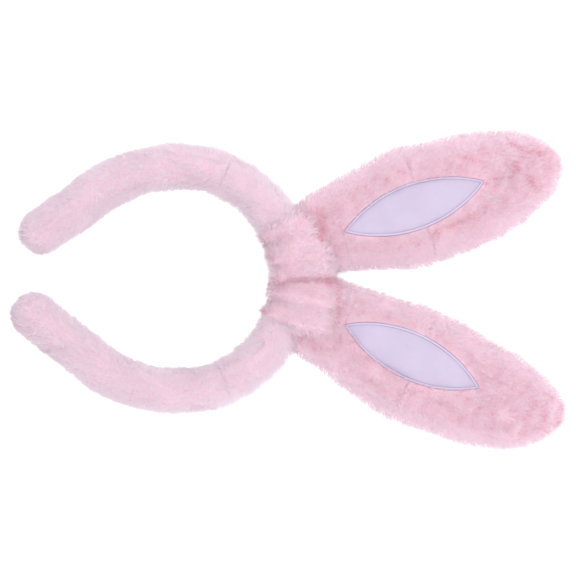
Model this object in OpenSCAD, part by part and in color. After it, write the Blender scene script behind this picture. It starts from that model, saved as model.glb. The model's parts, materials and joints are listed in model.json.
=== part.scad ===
// Plush animal ears headband: a padded spring band that carries two wired, stuffed ears.
// Upright as worn: +Z is up, the satin ear fronts face -Y and the wearer's left is +X.
// The origin is the point of the crown that touches the top of the head.

/* [Band] */
// Width of the head opening at the temples, plush to plush
head_opening = 119; // [112:1:145]
// Diameter of the padded band over its plush
band_d = 27; // [23:0.5:31]
// Thickness of the plush cloth, backing and pressed pile
plush_t = 2.5; // [1.5:0.5:3.5]
// Angle from the crown's middle to each upper flex point
crown_half = 42; // [38:1:50]
// How far an arm opens at each of its two flex points
arm_open = 12; // [5:1:16]
// Radius of the right arm below the temple
right_arm_r = 99; // [90:1:130]
// Angle through which the right arm curves in below the temple
right_arm_turn = 35; // [25:1:38]
// Straight length of the right arm, up to its rounded end
right_arm_straight = 41; // [30:1:50]
// Radius of the left arm below the temple
left_arm_r = 87; // [84:1:130]
// Angle through which the left arm curves in below the temple
left_arm_turn = 39; // [25:1:41]
// Straight length of the left arm, up to its rounded end
left_arm_straight = 50; // [30:1:52]

/* [Spring strip] */
// Width of the spring strip, front to back
strip_w = 10; // [6:0.5:14]
// Thickness of the spring strip
strip_t = 0.9; // [0.6:0.1:1.5]
// Wall of the boot on each end of the strip
boot_wall = 1.2; // [0.8:0.1:2]
// Length of the strip that each boot covers
boot_l = 9; // [6:1:14]

/* [Ears] */
// Greatest width of an ear
ear_w = 74; // [64:1:84]
// Width of an ear where it is gathered at the band
ear_base_w = 51; // [42:1:56]
// Greatest thickness of an ear
ear_t = 22; // [18:1:28]
// Distance from the band's centre line to an ear's widest place
ear_widest = 94; // [84:1:104]
// Length of the right ear, from the band's centre line to its tip
right_ear_l = 184; // [176:1:215]
// Length of the left ear, from the band's centre line to its tip
left_ear_l = 191; // [176:1:215]
// Outward lean of the right ear from upright
right_ear_splay = 17; // [14:1:28]
// Outward lean of the left ear from upright
left_ear_splay = 24; // [14:1:28]
// Angle on the band at which the right ear sits
right_ear_seat = 17.5; // [15:0.5:20]
// Angle on the band at which the left ear sits
left_ear_seat = 15; // [14:0.5:20]

/* [Wraps] */
// Thickness of the plush loop that ties each ear round the band
wrap_t = 4; // [2.5:0.5:5]
// Angle on the band that the right ear's wrap reaches out to
right_wrap_to = 27.5; // [22:0.5:32]
// Angle on the band that the left ear's wrap reaches out to
left_wrap_to = 21.5; // [20:0.5:32]
// Angle between each wrap and the middle of the crown
wrap_from = 1.2; // [0.8:0.1:3]

/* [Satin inners] */
// Length of the pointed satin inner, point to point
inner_l = 92; // [70:1:93]
// Width of the satin inner
inner_w = 29; // [20:1:36]
// Width of the stitched border round the satin inner
border_w = 2.2; // [1.5:0.1:3.5]
// How far the stitched border stands proud of the ear
border_lift = 0.6; // [0.3:0.1:1]
// Thickness of the satin with its lining
satin_t = 1.2; // [0.8:0.1:1.6]
// Distance from the band's centre line to the satin's lower point
inner_start = 40.5; // [40:0.5:41]
// How far the right inner leans out against its ear
right_inner_tilt = 2.7; // [-4:0.1:4]
// How far the left inner leans out against its ear
left_inner_tilt = 1.2; // [-4:0.1:4]
// Shift of the right inner towards the other ear
right_inner_shift = 0.7; // [-4:0.1:4]
// Shift of the left inner towards the other ear
left_inner_shift = 3.8; // [-4:0.1:4]

/* [Ear wire] */
// Diameter of the coated wire inside each ear
wire_d = 2.4; // [1.6:0.1:3]
// Distance between the wire's legs at the root of the ear
wire_root_gap = 12; // [10:1:16]
// Distance between the wire's legs at the tip fold
wire_bow_w = 44; // [36:1:48]
// Distance from the wire's bow to the ear's tip
wire_tip_gap = 12; // [9:1:16]

/* [Flexing] */
// Distance from the band's centre line to the fore-and-aft bend of an ear
lean_at = 28; // [27:0.5:29]
// Distance from the band's centre line to the sideways bend of an ear
splay_at = 35.5; // [35:0.5:36]
// Distance from the band's centre line to the tip fold of an ear
fold_at = 143; // [142:0.5:146]
// How far an ear bends forwards, and backwards, at its root
lean_range = 45; // [20:1:50]
// How far an ear bends sideways at its root
splay_range = 14; // [6:1:15]
// How far the tip folds forwards, and backwards
fold_range = 60; // [30:1:65]

/* [Fits] */
// Clearance between pieces that lie against each other
fit = 0.2; // [0.15:0.05:0.4]
// Narrowest gap between two bodies at a flex point
slot = 0.8; // [0.6:0.1:1.2]

/* [Hidden] */
$fn = 64;
RIGHT = -1;
LEFT = 1;
SIDES = [RIGHT, LEFT];

sleeve_r = band_d / 2;
foam_r = sleeve_r - plush_t - fit;
band_r = head_opening / 2 + sleeve_r;
band_z = -head_opening / 2;
wrap_in_r = sleeve_r + fit;
wrap_out_r = wrap_in_r + wrap_t;
temple = 90;
spare_deg = 1;
far = 400;

// The band's own lengths, by side
function arm_r(side) = side == RIGHT ? right_arm_r : left_arm_r;
function arm_turn(side) = side == RIGHT ? right_arm_turn : left_arm_turn;
function arm_straight(side) = side == RIGHT ? right_arm_straight : left_arm_straight;
function wrap_to(side) = side == RIGHT ? right_wrap_to : left_wrap_to;

// The ears' own lengths and angles, by side
function ear_l(side) = side == RIGHT ? right_ear_l : left_ear_l;
function ear_splay(side) = side == RIGHT ? right_ear_splay : left_ear_splay;
function ear_seat(side) = side == RIGHT ? right_ear_seat : left_ear_seat;
function inner_tilt(side) = side == RIGHT ? right_inner_tilt : left_inner_tilt;
function inner_shift(side) = side == RIGHT ? right_inner_shift : left_inner_shift;

skin_t = plush_t;
ring_n = 28;
low_rings = 7;
tip_rings = 9;
tip_end_deg = 86;
ear_from = 9;
waist_at = 24;
tip_power = 2.2;
thin_power = 0.6;
seam_gap = 0.1;
mid_gap = 0.6;
satin_under = 0.8;

// ---- Shared shapes of the band ----

// Everything is drawn for the wearer's left and mirrored for the right
module on_side(side) {
  if (side == RIGHT)
    mirror([1, 0, 0]) children();
  else
    children();
}

// Sweeps a flat profile round a Y axis at x, from and to being angles from straight up
module arc_sweep(x, r, from, to) {
  translate([x, 0, band_z])
    rotate([90, 0, 0])
      rotate([0, 0, 90 - to])
        rotate_extrude(angle = to - from)
          translate([r, 0])
            children();
}

// The place and direction of an arm's straight end, on the left
function turn_x(side) = band_r - arm_r(side) + arm_r(side) * cos(arm_turn(side));
function turn_z(side) = band_z - arm_r(side) * sin(arm_turn(side));

module at_straight(side) {
  translate([turn_x(side), 0, turn_z(side)])
    rotate([0, 180 + arm_turn(side), 0])
      children();
}

// The gap at a flex point: a bow tie with its knot on the pivot, seen along the pivot
module bow_tie(half_deg, reach) {
  rise = reach * tan(half_deg) + slot / 2;
  rotate([90, 0, 0])
    linear_extrude(height = far, center = true)
      polygon([
        [-reach, -rise], [0, -slot / 2], [reach, -rise],
        [reach, rise], [0, slot / 2], [-reach, rise]
      ]);
}

// A flex gap across the band at an angle from straight up
module band_gap(angle) {
  translate([0, 0, band_z])
    rotate([0, angle, 0])
      translate([0, 0, band_r])
        rotate([0, 90, 0])
          bow_tie(arm_open / 2 + spare_deg, 2 * band_d);
}

module tube_profile(r_out, r_in) {
  difference() {
    circle(r = r_out);
    circle(r = r_in);
  }
}

module strip_profile(grow) {
  square([strip_t + 2 * grow, strip_w + 2 * grow], center = true);
}

module foam_profile() {
  difference() {
    circle(r = foam_r);
    strip_profile(fit);
  }
}

// The curve of a lower arm, drawn back from the start of its straight
module turn_sweep(side) {
  translate([arm_r(side), 0, 0])
    rotate([90, 0, 0])
      rotate([0, 0, 180])
        rotate_extrude(angle = arm_turn(side))
          translate([arm_r(side), 0])
            children();
}

// Half the outline of a straight that ends in a half round
module bullet_profile(side, r) {
  intersection() {
    union() {
      square([r, arm_straight(side)]);
      translate([0, arm_straight(side)]) circle(r = r);
    }
    square([r, arm_straight(side) + r]);
  }
}

// The strip's straight end, and the boot's outer block round its last stretch
module strip_end(side, grow) {
  linear_extrude(height = arm_straight(side) + grow)
    strip_profile(grow);
}

module boot_block(side, grow) {
  translate([0, 0, arm_straight(side) - boot_l - grow])
    linear_extrude(height = boot_l + boot_wall + 2 * grow)
      strip_profile(boot_wall + fit + grow);
}

// ---- Band pieces ----

module crown_strip() {
  color("silver")
    difference() {
      arc_sweep(0, band_r, -crown_half, crown_half) strip_profile(0);
      for (side = SIDES) band_gap(side * crown_half);
    }
}

module crown_foam() {
  color("lightyellow")
    difference() {
      arc_sweep(0, band_r, -crown_half, crown_half) foam_profile();
      for (side = SIDES) band_gap(side * crown_half);
    }
}

module crown_sleeve() {
  color("pink")
    difference() {
      arc_sweep(0, band_r, -crown_half, crown_half) tube_profile(sleeve_r, sleeve_r - plush_t);
      for (side = SIDES) band_gap(side * crown_half);
    }
}

// Cuts an upper arm's piece free at both of its flex points
module upper_arm_part(side) {
  on_side(side)
    difference() {
      arc_sweep(0, band_r, crown_half, temple) children();
      band_gap(crown_half);
      band_gap(temple);
    }
}

module upper_arm_strip(side) {
  color("silver") upper_arm_part(side) strip_profile(0);
}

module upper_arm_foam(side) {
  color("lightyellow") upper_arm_part(side) foam_profile();
}

module upper_arm_sleeve(side) {
  color("pink") upper_arm_part(side) tube_profile(sleeve_r, sleeve_r - plush_t);
}

// Cuts a lower arm's piece free at the temple
module lower_arm_part(side) {
  on_side(side)
    difference() {
      at_straight(side) children();
      band_gap(temple);
    }
}

module lower_arm_strip(side) {
  color("silver")
    lower_arm_part(side) {
      turn_sweep(side) strip_profile(0);
      strip_end(side, 0);
    }
}

module lower_arm_foam(side) {
  color("lightyellow")
    lower_arm_part(side) {
      turn_sweep(side) foam_profile();
      difference() {
        rotate_extrude() bullet_profile(side, foam_r);
        strip_end(side, fit);
        boot_block(side, fit);
      }
    }
}

module lower_arm_sleeve(side) {
  color("pink")
    lower_arm_part(side) {
      turn_sweep(side) tube_profile(sleeve_r, sleeve_r - plush_t);
      rotate_extrude()
        difference() {
          bullet_profile(side, sleeve_r);
          bullet_profile(side, sleeve_r - plush_t);
        }
    }
}

module strip_boot(side) {
  color("white")
    on_side(side)
      at_straight(side)
        difference() {
          boot_block(side, 0);
          strip_end(side, fit);
        }
}

// ---- Shared shapes of the ears ----

// Local ear frame: origin on the band's centre line, +Z along the ear, +X outwards
module in_ear(side) {
  on_side(side)
    translate([band_r * sin(ear_seat(side)), 0, band_z + band_r * cos(ear_seat(side))])
      rotate([0, ear_splay(side), 0])
        children();
}

// Half the ear's width at a distance s from the band, its outline pulled in by inset
function swell(u) = (1 - cos(180 * u)) / 2;
function low_half(s) = ear_base_w / 2
  + (ear_w - ear_base_w) / 2 * swell(max(0, (s - waist_at) / (ear_widest - waist_at)));
function tip_share(s, l) = sqrt(max(0, 1 - pow((s - ear_widest) / (l - ear_widest), tip_power)));
function half_w(s, l, inset) = s <= ear_widest
  ? low_half(s) - inset
  : (ear_w / 2 - inset) * tip_share(s, l - inset);
function half_t(s, l, inset) = (ear_t / 2 - inset)
  * (s <= ear_widest ? 1 : pow(tip_share(s, l - inset), thin_power));

// Distances of the rings that carry the ear's outline
function ear_rings(l, inset) = concat(
  [for (i = [0 : low_rings - 1]) ear_from + (ear_widest - ear_from) * i / low_rings],
  [for (i = [0 : tip_rings - 1])
    ear_widest + (l - inset - ear_widest) * sin(tip_end_deg * i / (tip_rings - 1))]
);

// The stuffed ear as one closed pillow
module ear_pillow(side, inset) {
  l = ear_l(side);
  rings = ear_rings(l, inset);
  last = len(rings) - 1;
  points = concat(
    [for (s = rings, i = [0 : ring_n - 1])
      [half_w(s, l, inset) * cos(360 * i / ring_n), half_t(s, l, inset) * sin(360 * i / ring_n), s]],
    [[0, 0, rings[0]], [0, 0, l - inset]]
  );
  foot = len(points) - 2;
  peak = len(points) - 1;
  faces = concat(
    [for (j = [0 : last - 1], i = [0 : ring_n - 1])
      [j * ring_n + i, (j + 1) * ring_n + i, j * ring_n + (i + 1) % ring_n]],
    [for (j = [0 : last - 1], i = [0 : ring_n - 1])
      [(j + 1) * ring_n + i, (j + 1) * ring_n + (i + 1) % ring_n, j * ring_n + (i + 1) % ring_n]],
    [for (i = [0 : ring_n - 1]) [foot, i, (i + 1) % ring_n]],
    [for (i = [0 : ring_n - 1]) [peak, last * ring_n + (i + 1) % ring_n, last * ring_n + i]]
  );
  polyhedron(points = points, faces = faces);
}

// The space above, or below, a flex point; across is 0 for a bend about X and 90 for one about Y
module beyond(at, half_deg, across, up) {
  reach = far / 4;
  rise = reach * tan(half_deg) + slot / 2;
  translate([0, 0, at])
    mirror([0, 0, up ? 0 : 1])
      rotate([0, 0, across])
        rotate([90, 0, 90])
          linear_extrude(height = far, center = true)
            polygon([[-reach, rise], [0, slot / 2], [reach, rise], [reach, far], [-reach, far]]);
}

lean_half = lean_range / 2 + spare_deg;
splay_half = splay_range / 2 + spare_deg;
fold_half = fold_range / 2 + spare_deg;

module neck_zone() {
  intersection() {
    beyond(lean_at, lean_half, 0, true);
    beyond(splay_at, splay_half, 90, false);
  }
}

module blade_zone() {
  intersection() {
    beyond(splay_at, splay_half, 90, true);
    beyond(fold_at, fold_half, 0, false);
  }
}

module tip_zone() {
  beyond(fold_at, fold_half, 0, true);
}

// A plush shell: the ear's pillow with a smaller one taken out
module plush_shell(side) {
  difference() {
    ear_pillow(side, 0);
    ear_pillow(side, skin_t);
  }
}

// Half of the space on the front or the back of the side seam
module seam_half(front) {
  translate([-far / 2, front ? -far - seam_gap / 2 : seam_gap / 2, -far / 2])
    cube([far, far, far]);
}

// The pointed satin shape, seen from the front, standing through the ear's front half
module inner_leaf(side, grow) {
  half = inner_l / 2;
  rise = inner_w / 2;
  r = (half * half + rise * rise) / (2 * rise);
  translate([-inner_shift(side), 0, inner_start + half])
    rotate([0, inner_tilt(side), 0])
      rotate([90, 0, 0])
        linear_extrude(height = ear_t)
          intersection() {
            translate([rise - r, 0]) circle(r = r + grow, $fn = 180);
            translate([r - rise, 0]) circle(r = r + grow, $fn = 180);
          }
}

// The wire's hairpin: two legs from the root and a round bow under the tip
bow_r = wire_bow_w / 2;
function bow_z(side) = ear_l(side) - wire_tip_gap - bow_r;
wire_run = [bow_r - wire_root_gap / 2, fold_at - splay_at];

// The wire's legs stop short of each bend by this much
leg_short = slot / 2 + wire_d;

// Runs its children up one leg of the hairpin, which leans out to the bow's width
module along_leg(end) {
  translate([end * wire_root_gap / 2, 0, splay_at])
    rotate([0, end * atan2(wire_run[0], wire_run[1]), 0])
      children();
}

// A room in the filling for the wire: straight slots for the legs, a flat half ring for the bow
module leg_room() {
  w = wire_d + 2 * fit;
  for (end = [-1, 1])
    along_leg(end)
      translate([-w / 2, -w / 2, -w])
        cube([w, w, norm(wire_run) + 2 * w]);
}

module bow_room(side) {
  w = wire_d + 2 * fit;
  for (end = [-1, 1])
    translate([end * bow_r - w / 2, -w / 2, fold_at - w])
      cube([w, w, bow_z(side) - fold_at + w]);
  translate([0, 0, bow_z(side)])
    rotate([90, 0, 0])
      rotate_extrude(angle = 180)
        translate([bow_r, 0])
          square(w, center = true);
}

// ---- Ear pieces ----

// The loop of plush that holds the ear against the band
module ear_wrap(side) {
  color("lightpink")
    on_side(side)
      arc_sweep(0, band_r, wrap_from, wrap_to(side))
        tube_profile(wrap_out_r, wrap_in_r);
}

// The gathered foot of the ear, sewn down on the wrap and the band
module ear_base(side) {
  color("lightpink")
    intersection() {
      difference() {
        in_ear(side)
          intersection() {
            ear_pillow(side, 0);
            beyond(lean_at, lean_half, 0, false);
          }
        arc_sweep(0, band_r, -crown_half, crown_half) circle(r = wrap_out_r + fit);
      }
      on_side(side) translate([mid_gap, -far / 2, -far / 2]) cube(far);
    }
}

module ear_neck(side) {
  color("lightpink")
    in_ear(side)
      difference() {
        intersection() {
          ear_pillow(side, 0);
          neck_zone();
        }
        anchor_shape(fit);
      }
}

// The ends of the wire, bound side by side in the neck
module anchor_shape(grow) {
  h = splay_at - lean_at - 2 * leg_short + 2 * wire_d;
  translate([0, 0, (splay_at + lean_at) / 2])
    cube([wire_root_gap + 2 * grow, wire_d + 2 * grow, h + 2 * grow], center = true);
}

module wire_anchor(side) {
  color("silver") in_ear(side) anchor_shape(0);
}

module wire_legs(side) {
  color("silver")
    in_ear(side)
      for (end = [-1, 1])
        along_leg(end)
          translate([0, 0, leg_short])
            cylinder(r = wire_d / 2, h = norm(wire_run) - 2 * leg_short);
}

module wire_bow(side) {
  color("silver")
    in_ear(side) {
      for (end = [-1, 1])
        translate([end * bow_r, 0, fold_at + leg_short])
          cylinder(r = wire_d / 2, h = bow_z(side) - fold_at - leg_short);
      translate([0, 0, bow_z(side)])
        rotate([90, 0, 0])
          rotate_extrude(angle = 180)
            translate([bow_r, 0])
              circle(r = wire_d / 2);
    }
}

module ear_filling(side) {
  color("white")
    in_ear(side)
      difference() {
        intersection() {
          ear_pillow(side, skin_t + fit);
          blade_zone();
        }
        leg_room();
      }
}

module tip_filling(side) {
  color("white")
    in_ear(side)
      difference() {
        intersection() {
          ear_pillow(side, skin_t + fit);
          tip_zone();
        }
        bow_room(side);
      }
}

module front_plush(side) {
  color("pink")
    in_ear(side)
      difference() {
        intersection() {
          plush_shell(side);
          blade_zone();
          seam_half(true);
        }
        inner_leaf(side, border_w / 2 + fit);
      }
}

module back_plush(side) {
  color("pink")
    in_ear(side)
      intersection() {
        plush_shell(side);
        blade_zone();
        seam_half(false);
      }
}

module tip_plush(side, front) {
  color("pink")
    in_ear(side)
      intersection() {
        plush_shell(side);
        tip_zone();
        seam_half(front);
      }
}

module satin_inner(side) {
  color("lavender")
    in_ear(side)
      intersection() {
        difference() {
          ear_pillow(side, satin_under);
          ear_pillow(side, satin_under + satin_t);
        }
        inner_leaf(side, -border_w / 2 - fit);
        seam_half(true);
      }
}

module inner_border(side) {
  color("thistle")
    in_ear(side)
      intersection() {
        difference() {
          ear_pillow(side, -border_lift);
          ear_pillow(side, skin_t);
        }
        difference() {
          inner_leaf(side, border_w / 2);
          inner_leaf(side, -border_w / 2);
        }
        seam_half(true);
      }
}

// ---- The nodes ----

crown_strip();
crown_foam();
crown_sleeve();

upper_arm_strip(RIGHT);  // right_upper_arm_strip
upper_arm_foam(RIGHT);  // right_upper_arm_foam
upper_arm_sleeve(RIGHT);  // right_upper_arm_sleeve
lower_arm_strip(RIGHT);  // right_lower_arm_strip
lower_arm_foam(RIGHT);  // right_lower_arm_foam
lower_arm_sleeve(RIGHT);  // right_lower_arm_sleeve
strip_boot(RIGHT);  // right_strip_boot

upper_arm_strip(LEFT);  // left_upper_arm_strip
upper_arm_foam(LEFT);  // left_upper_arm_foam
upper_arm_sleeve(LEFT);  // left_upper_arm_sleeve
lower_arm_strip(LEFT);  // left_lower_arm_strip
lower_arm_foam(LEFT);  // left_lower_arm_foam
lower_arm_sleeve(LEFT);  // left_lower_arm_sleeve
strip_boot(LEFT);  // left_strip_boot

ear_wrap(RIGHT);  // right_ear_wrap
ear_base(RIGHT);  // right_ear_base
ear_neck(RIGHT);  // right_ear_neck
wire_anchor(RIGHT);  // right_wire_anchor
wire_legs(RIGHT);  // right_wire_legs
wire_bow(RIGHT);  // right_wire_bow
ear_filling(RIGHT);  // right_ear_filling
tip_filling(RIGHT);  // right_tip_filling
front_plush(RIGHT);  // right_front_plush
back_plush(RIGHT);  // right_back_plush
tip_plush(RIGHT, true);  // right_tip_front_plush
tip_plush(RIGHT, false);  // right_tip_back_plush
satin_inner(RIGHT);  // right_satin_inner
inner_border(RIGHT);  // right_inner_border

ear_wrap(LEFT);  // left_ear_wrap
ear_base(LEFT);  // left_ear_base
ear_neck(LEFT);  // left_ear_neck
wire_anchor(LEFT);  // left_wire_anchor
wire_legs(LEFT);  // left_wire_legs
wire_bow(LEFT);  // left_wire_bow
ear_filling(LEFT);  // left_ear_filling
tip_filling(LEFT);  // left_tip_filling
front_plush(LEFT);  // left_front_plush
back_plush(LEFT);  // left_back_plush
tip_plush(LEFT, true);  // left_tip_front_plush
tip_plush(LEFT, false);  // left_tip_back_plush
satin_inner(LEFT);  // left_satin_inner
inner_border(LEFT);  // left_inner_border
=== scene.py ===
# %% [markdown]
# # A plush headband with two animal ears
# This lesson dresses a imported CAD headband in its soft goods. The band is a padded tube of short plush.
# Two stuffed ears stand on it, each with a satin panel in its front, and a wrap of plush ties each ear on.
# The CAD model gives every size and every joint, so the first step loads it as a fixed frame.

# %% Load the frame
import json
import math

import bmesh
import bpy
import numpy as np
from mathutils import Matrix, Vector
from mathutils.kdtree import KDTree


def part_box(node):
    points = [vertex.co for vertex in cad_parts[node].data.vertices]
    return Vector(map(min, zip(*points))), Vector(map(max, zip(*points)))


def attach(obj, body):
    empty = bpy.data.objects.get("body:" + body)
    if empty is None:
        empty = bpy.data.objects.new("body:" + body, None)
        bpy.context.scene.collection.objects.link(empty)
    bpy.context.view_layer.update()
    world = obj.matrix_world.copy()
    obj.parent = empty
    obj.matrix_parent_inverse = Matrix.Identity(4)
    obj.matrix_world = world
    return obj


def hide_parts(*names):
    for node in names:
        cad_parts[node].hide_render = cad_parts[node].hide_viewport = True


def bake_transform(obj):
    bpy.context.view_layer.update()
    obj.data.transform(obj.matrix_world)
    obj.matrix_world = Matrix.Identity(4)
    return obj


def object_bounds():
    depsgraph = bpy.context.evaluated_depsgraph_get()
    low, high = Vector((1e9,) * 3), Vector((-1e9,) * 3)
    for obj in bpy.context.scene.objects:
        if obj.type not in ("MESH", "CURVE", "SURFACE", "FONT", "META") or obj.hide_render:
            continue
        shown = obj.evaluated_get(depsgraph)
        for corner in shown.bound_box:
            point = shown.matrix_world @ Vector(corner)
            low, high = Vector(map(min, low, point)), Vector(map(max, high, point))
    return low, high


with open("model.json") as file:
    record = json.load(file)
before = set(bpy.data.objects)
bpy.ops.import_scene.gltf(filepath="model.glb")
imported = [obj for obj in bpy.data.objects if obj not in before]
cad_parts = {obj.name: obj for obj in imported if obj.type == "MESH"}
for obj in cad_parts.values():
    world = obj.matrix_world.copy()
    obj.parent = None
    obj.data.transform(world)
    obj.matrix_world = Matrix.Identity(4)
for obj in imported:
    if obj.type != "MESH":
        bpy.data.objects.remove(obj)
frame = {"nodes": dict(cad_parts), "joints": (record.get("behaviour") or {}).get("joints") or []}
cad_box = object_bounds()
print("CAD box, metres:", [round(v, 4) for corner in cad_box for v in corner])

# %% [markdown]
# The joints say where things are. The temple joints sit on the band's centre circle, level with its centre.
# The lean and fold joints of an ear both lie on that ear's axis, so they give its direction.

# %% Read the sizes from the frame
MM = 0.001
SIDES = {"right": -1, "left": 1}
joints = {joint["name"]: joint for joint in frame["joints"]}
temple = np.array(joints["left_temple_open"]["pos_m"])
BAND_R = temple[0]
BAND_CENTRE = np.array((0.0, 0.0, temple[2]))
SLEEVE_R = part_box("crown_sleeve")[1].y
BAND_PILE_ROOM = 1.9 * MM
EAR_PILE_ROOM = 1.0 * MM
SKIN_R = SLEEVE_R - BAND_PILE_ROOM
TO_FRONT = np.array((0.0, -1.0, 0.0))

# %% [markdown]
# Every place on an ear is three distances: outward from the middle plane, along the ear, and to the front.

# %% Find each ear's place and length


class EarPlace:
    """Where an ear stands: its origin on the band's centre circle, its axis and its outward direction."""

    def __init__(self, side):
        self.side = side
        sign = SIDES[side]
        lean = np.array(joints[side + "_ear_lean"]["pos_m"])
        fold = np.array(joints[side + "_tip_fold"]["pos_m"])
        self.along = (fold - lean) / np.linalg.norm(fold - lean)
        self.out = np.array((sign * abs(self.along[2]), 0.0, -abs(self.along[0])))
        reach = lean - BAND_CENTRE
        half = reach @ self.along
        back = half - math.sqrt(half**2 - reach @ reach + BAND_R**2)
        self.origin = lean - back * self.along
        tip = frame["nodes"][side + "_tip_back_plush"].data.vertices
        self.length = max((np.array(vertex.co) - self.origin) @ self.along for vertex in tip)

    def point(self, out, along, front=0.0):
        """A point from its distances outward, along the ear and to the front."""
        out, along, front = np.broadcast_arrays(out, along, front)
        return (self.origin + out[..., None] * self.out + along[..., None] * self.along
                + front[..., None] * TO_FRONT)

    def local(self, points):
        """Distances outward, along and to the front of points."""
        gone = points - self.origin
        return gone @ self.out, gone @ self.along, gone @ TO_FRONT


places = {side: EarPlace(side) for side in SIDES}

# %% [markdown]
# The headband lies on its side for the camera: the ears point to the right of the view, the arms to the left.
# A long lens keeps the flat layout free of perspective.

# %% Camera
scene = bpy.context.scene


def add_object(name, data):
    """A new object in the scene."""
    made = bpy.data.objects.new(name, data)
    scene.collection.objects.link(made)
    return made


camera = add_object("camera", bpy.data.cameras.new("camera"))
scene.camera = camera
LENS = 100
VIEW_FROM = Vector((6.2, -1040.0, 10.7)) * MM
ROLLED = Matrix(((0, -1, 0), (0, 0, -1), (1, 0, 0)))
camera.data.lens = LENS
camera.matrix_world = Matrix.Translation(VIEW_FROM) @ ROLLED.to_4x4()

# %% [markdown]
# Materials and the world are node trees. A small class wraps one socket, so that shader maths reads like
# Python. Shading adds nodes to a tree, and a Finish is a material with a principled shader.

# %% Shader helpers
def arithmetic(operation, swapped=False):
    """A method that adds a Math node. Swapped puts the other value first."""
    def method(self, other):
        return self.maths(operation, *((other, self) if swapped else (self, other)))
    return method


class Wire:
    """An output socket. Arithmetic on it adds Math nodes."""

    __add__ = __radd__ = arithmetic("ADD")
    __sub__ = arithmetic("SUBTRACT")
    __rsub__ = arithmetic("SUBTRACT", swapped=True)
    __mul__ = __rmul__ = arithmetic("MULTIPLY")
    __pow__ = arithmetic("POWER")

    def __init__(self, finish, socket):
        self.finish = finish
        self.socket = socket

    def maths(self, operation, *values):
        return self.finish.node("ShaderNodeMath", {"operation": operation}, dict(enumerate(values)))

    def smooth(self, low, high, first=0.0, last=1.0):
        """First below low, last above high, with a soft step between."""
        settings = {"interpolation_type": "SMOOTHSTEP"}
        inputs = {"Value": self, "From Min": low, "From Max": high, "To Min": first, "To Max": last}
        return self.finish.node("ShaderNodeMapRange", settings, inputs)


class Shading:
    """A node tree. Its node method adds a node: settings first, then the inputs."""

    def __init__(self, owner):
        owner.use_nodes = True
        self.tree = owner.node_tree

    def node(self, kind, settings=None, inputs=None, output=0):
        made = self.tree.nodes.new(kind)
        for setting, value in (settings or {}).items():
            setattr(made, setting, value)
        for socket, value in (inputs or {}).items():
            self.feed(made.inputs[socket], value)
        return Wire(self, made.outputs[output])

    def feed(self, socket, value):
        if isinstance(value, Wire):
            self.tree.links.new(value.socket, socket)
        else:
            socket.default_value = value

    def mix(self, share, first, second, how="MIX"):
        """A colour between first and second."""
        settings = {"data_type": "RGBA", "blend_type": how}
        return self.node("ShaderNodeMix", settings, {0: share, 6: first, 7: second}, output=2)

    def place(self):
        """The object's own coordinates."""
        return self.node("ShaderNodeTexCoord", output=3)

    def pair(self, layer):
        """The two numbers that a UV layer holds."""
        first = self.node("ShaderNodeSeparateXYZ", {}, {0: self.node("ShaderNodeUVMap", {"uv_map": layer})})
        return first, Wire(self, first.socket.node.outputs[1])

    def noise(self, scale, detail=2.0, rough=0.5):
        inputs = {"Vector": self.place(), "Scale": scale, "Detail": detail, "Roughness": rough}
        return self.node("ShaderNodeTexNoise", {}, inputs)


class Finish(Shading):
    """A material with a principled shader. Keyword values go straight to the shader's sockets."""

    def __init__(self, name, **plain):
        self.material = bpy.data.materials.new(name)
        super().__init__(self.material)
        self.shader = self.tree.nodes["Principled BSDF"]
        for socket, value in plain.items():
            self.shader.inputs[socket.replace("_", " ")].default_value = value

    def set(self, socket, value):
        self.feed(self.shader.inputs[socket], value)
        return self

    def bump(self, height, depth, strength=1.0):
        inputs = {"Height": height, "Distance": depth, "Strength": strength}
        return self.set("Normal", self.node("ShaderNodeBump", {}, inputs))


def srgb(red, green, blue):
    """A linear colour from the 0 to 255 values of a paint card."""
    def straight(value):
        share = value / 255
        return share / 12.92 if share <= 0.04045 else ((share + 0.055) / 1.055) ** 2.4
    return (straight(red), straight(green), straight(blue), 1.0)


# %% [markdown]
# The world is a white light tent. It is brighter from the sides than from the front, so that round forms keep
# pale edges, as soft fibre does. Two large lamps add a little direction.

# %% Light and floor
scene.view_settings.view_transform = "Standard"
FRONT_LIGHT = 1.15
SIDE_LIGHT = 2.1
scene.world = bpy.data.worlds.new("light_tent")
tent = Shading(scene.world)
background = tent.tree.nodes["Background"]
background.inputs["Color"].default_value = (1, 1, 1, 1)
heading = tent.node("ShaderNodeSeparateXYZ", {}, {0: tent.node("ShaderNodeTexCoord")}, output=1)
brightness = heading.maths("ABSOLUTE", heading).smooth(0.2, 0.9, SIDE_LIGHT, FRONT_LIGHT)
tent.feed(background.inputs["Strength"], brightness)


def soft_light(name, place, aim, size, watts):
    """A square area light at place, turned to aim."""
    lamp = bpy.data.lights.new(name, "AREA")
    lamp.size = size
    lamp.energy = watts
    holder = add_object(name, lamp)
    holder.location = place
    holder.rotation_euler = (Vector(aim) - Vector(place)).to_track_quat("-Z", "Y").to_euler()


LAMP_AIM = (0, 0, 0.02)
LAMP_WATTS = 2.0
soft_light("key", (-0.75, -0.95, 0.35), LAMP_AIM, 0.8, LAMP_WATTS)
soft_light("fill", (0.8, -0.95, 0.05), LAMP_AIM, 0.9, LAMP_WATTS)
FLOOR_DROP = 10 * MM
FLOOR_SIZE = 3.0
floor_mesh = bpy.data.meshes.new("floor")
floor_z = cad_box[0].z - FLOOR_DROP
corners = [(x * FLOOR_SIZE, y * FLOOR_SIZE, floor_z) for x, y in ((-1, -1), (1, -1), (1, 1), (-1, 1))]
floor_mesh.from_pydata(corners, [], [(0, 1, 2, 3)])
floor = add_object("floor", floor_mesh)

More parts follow.
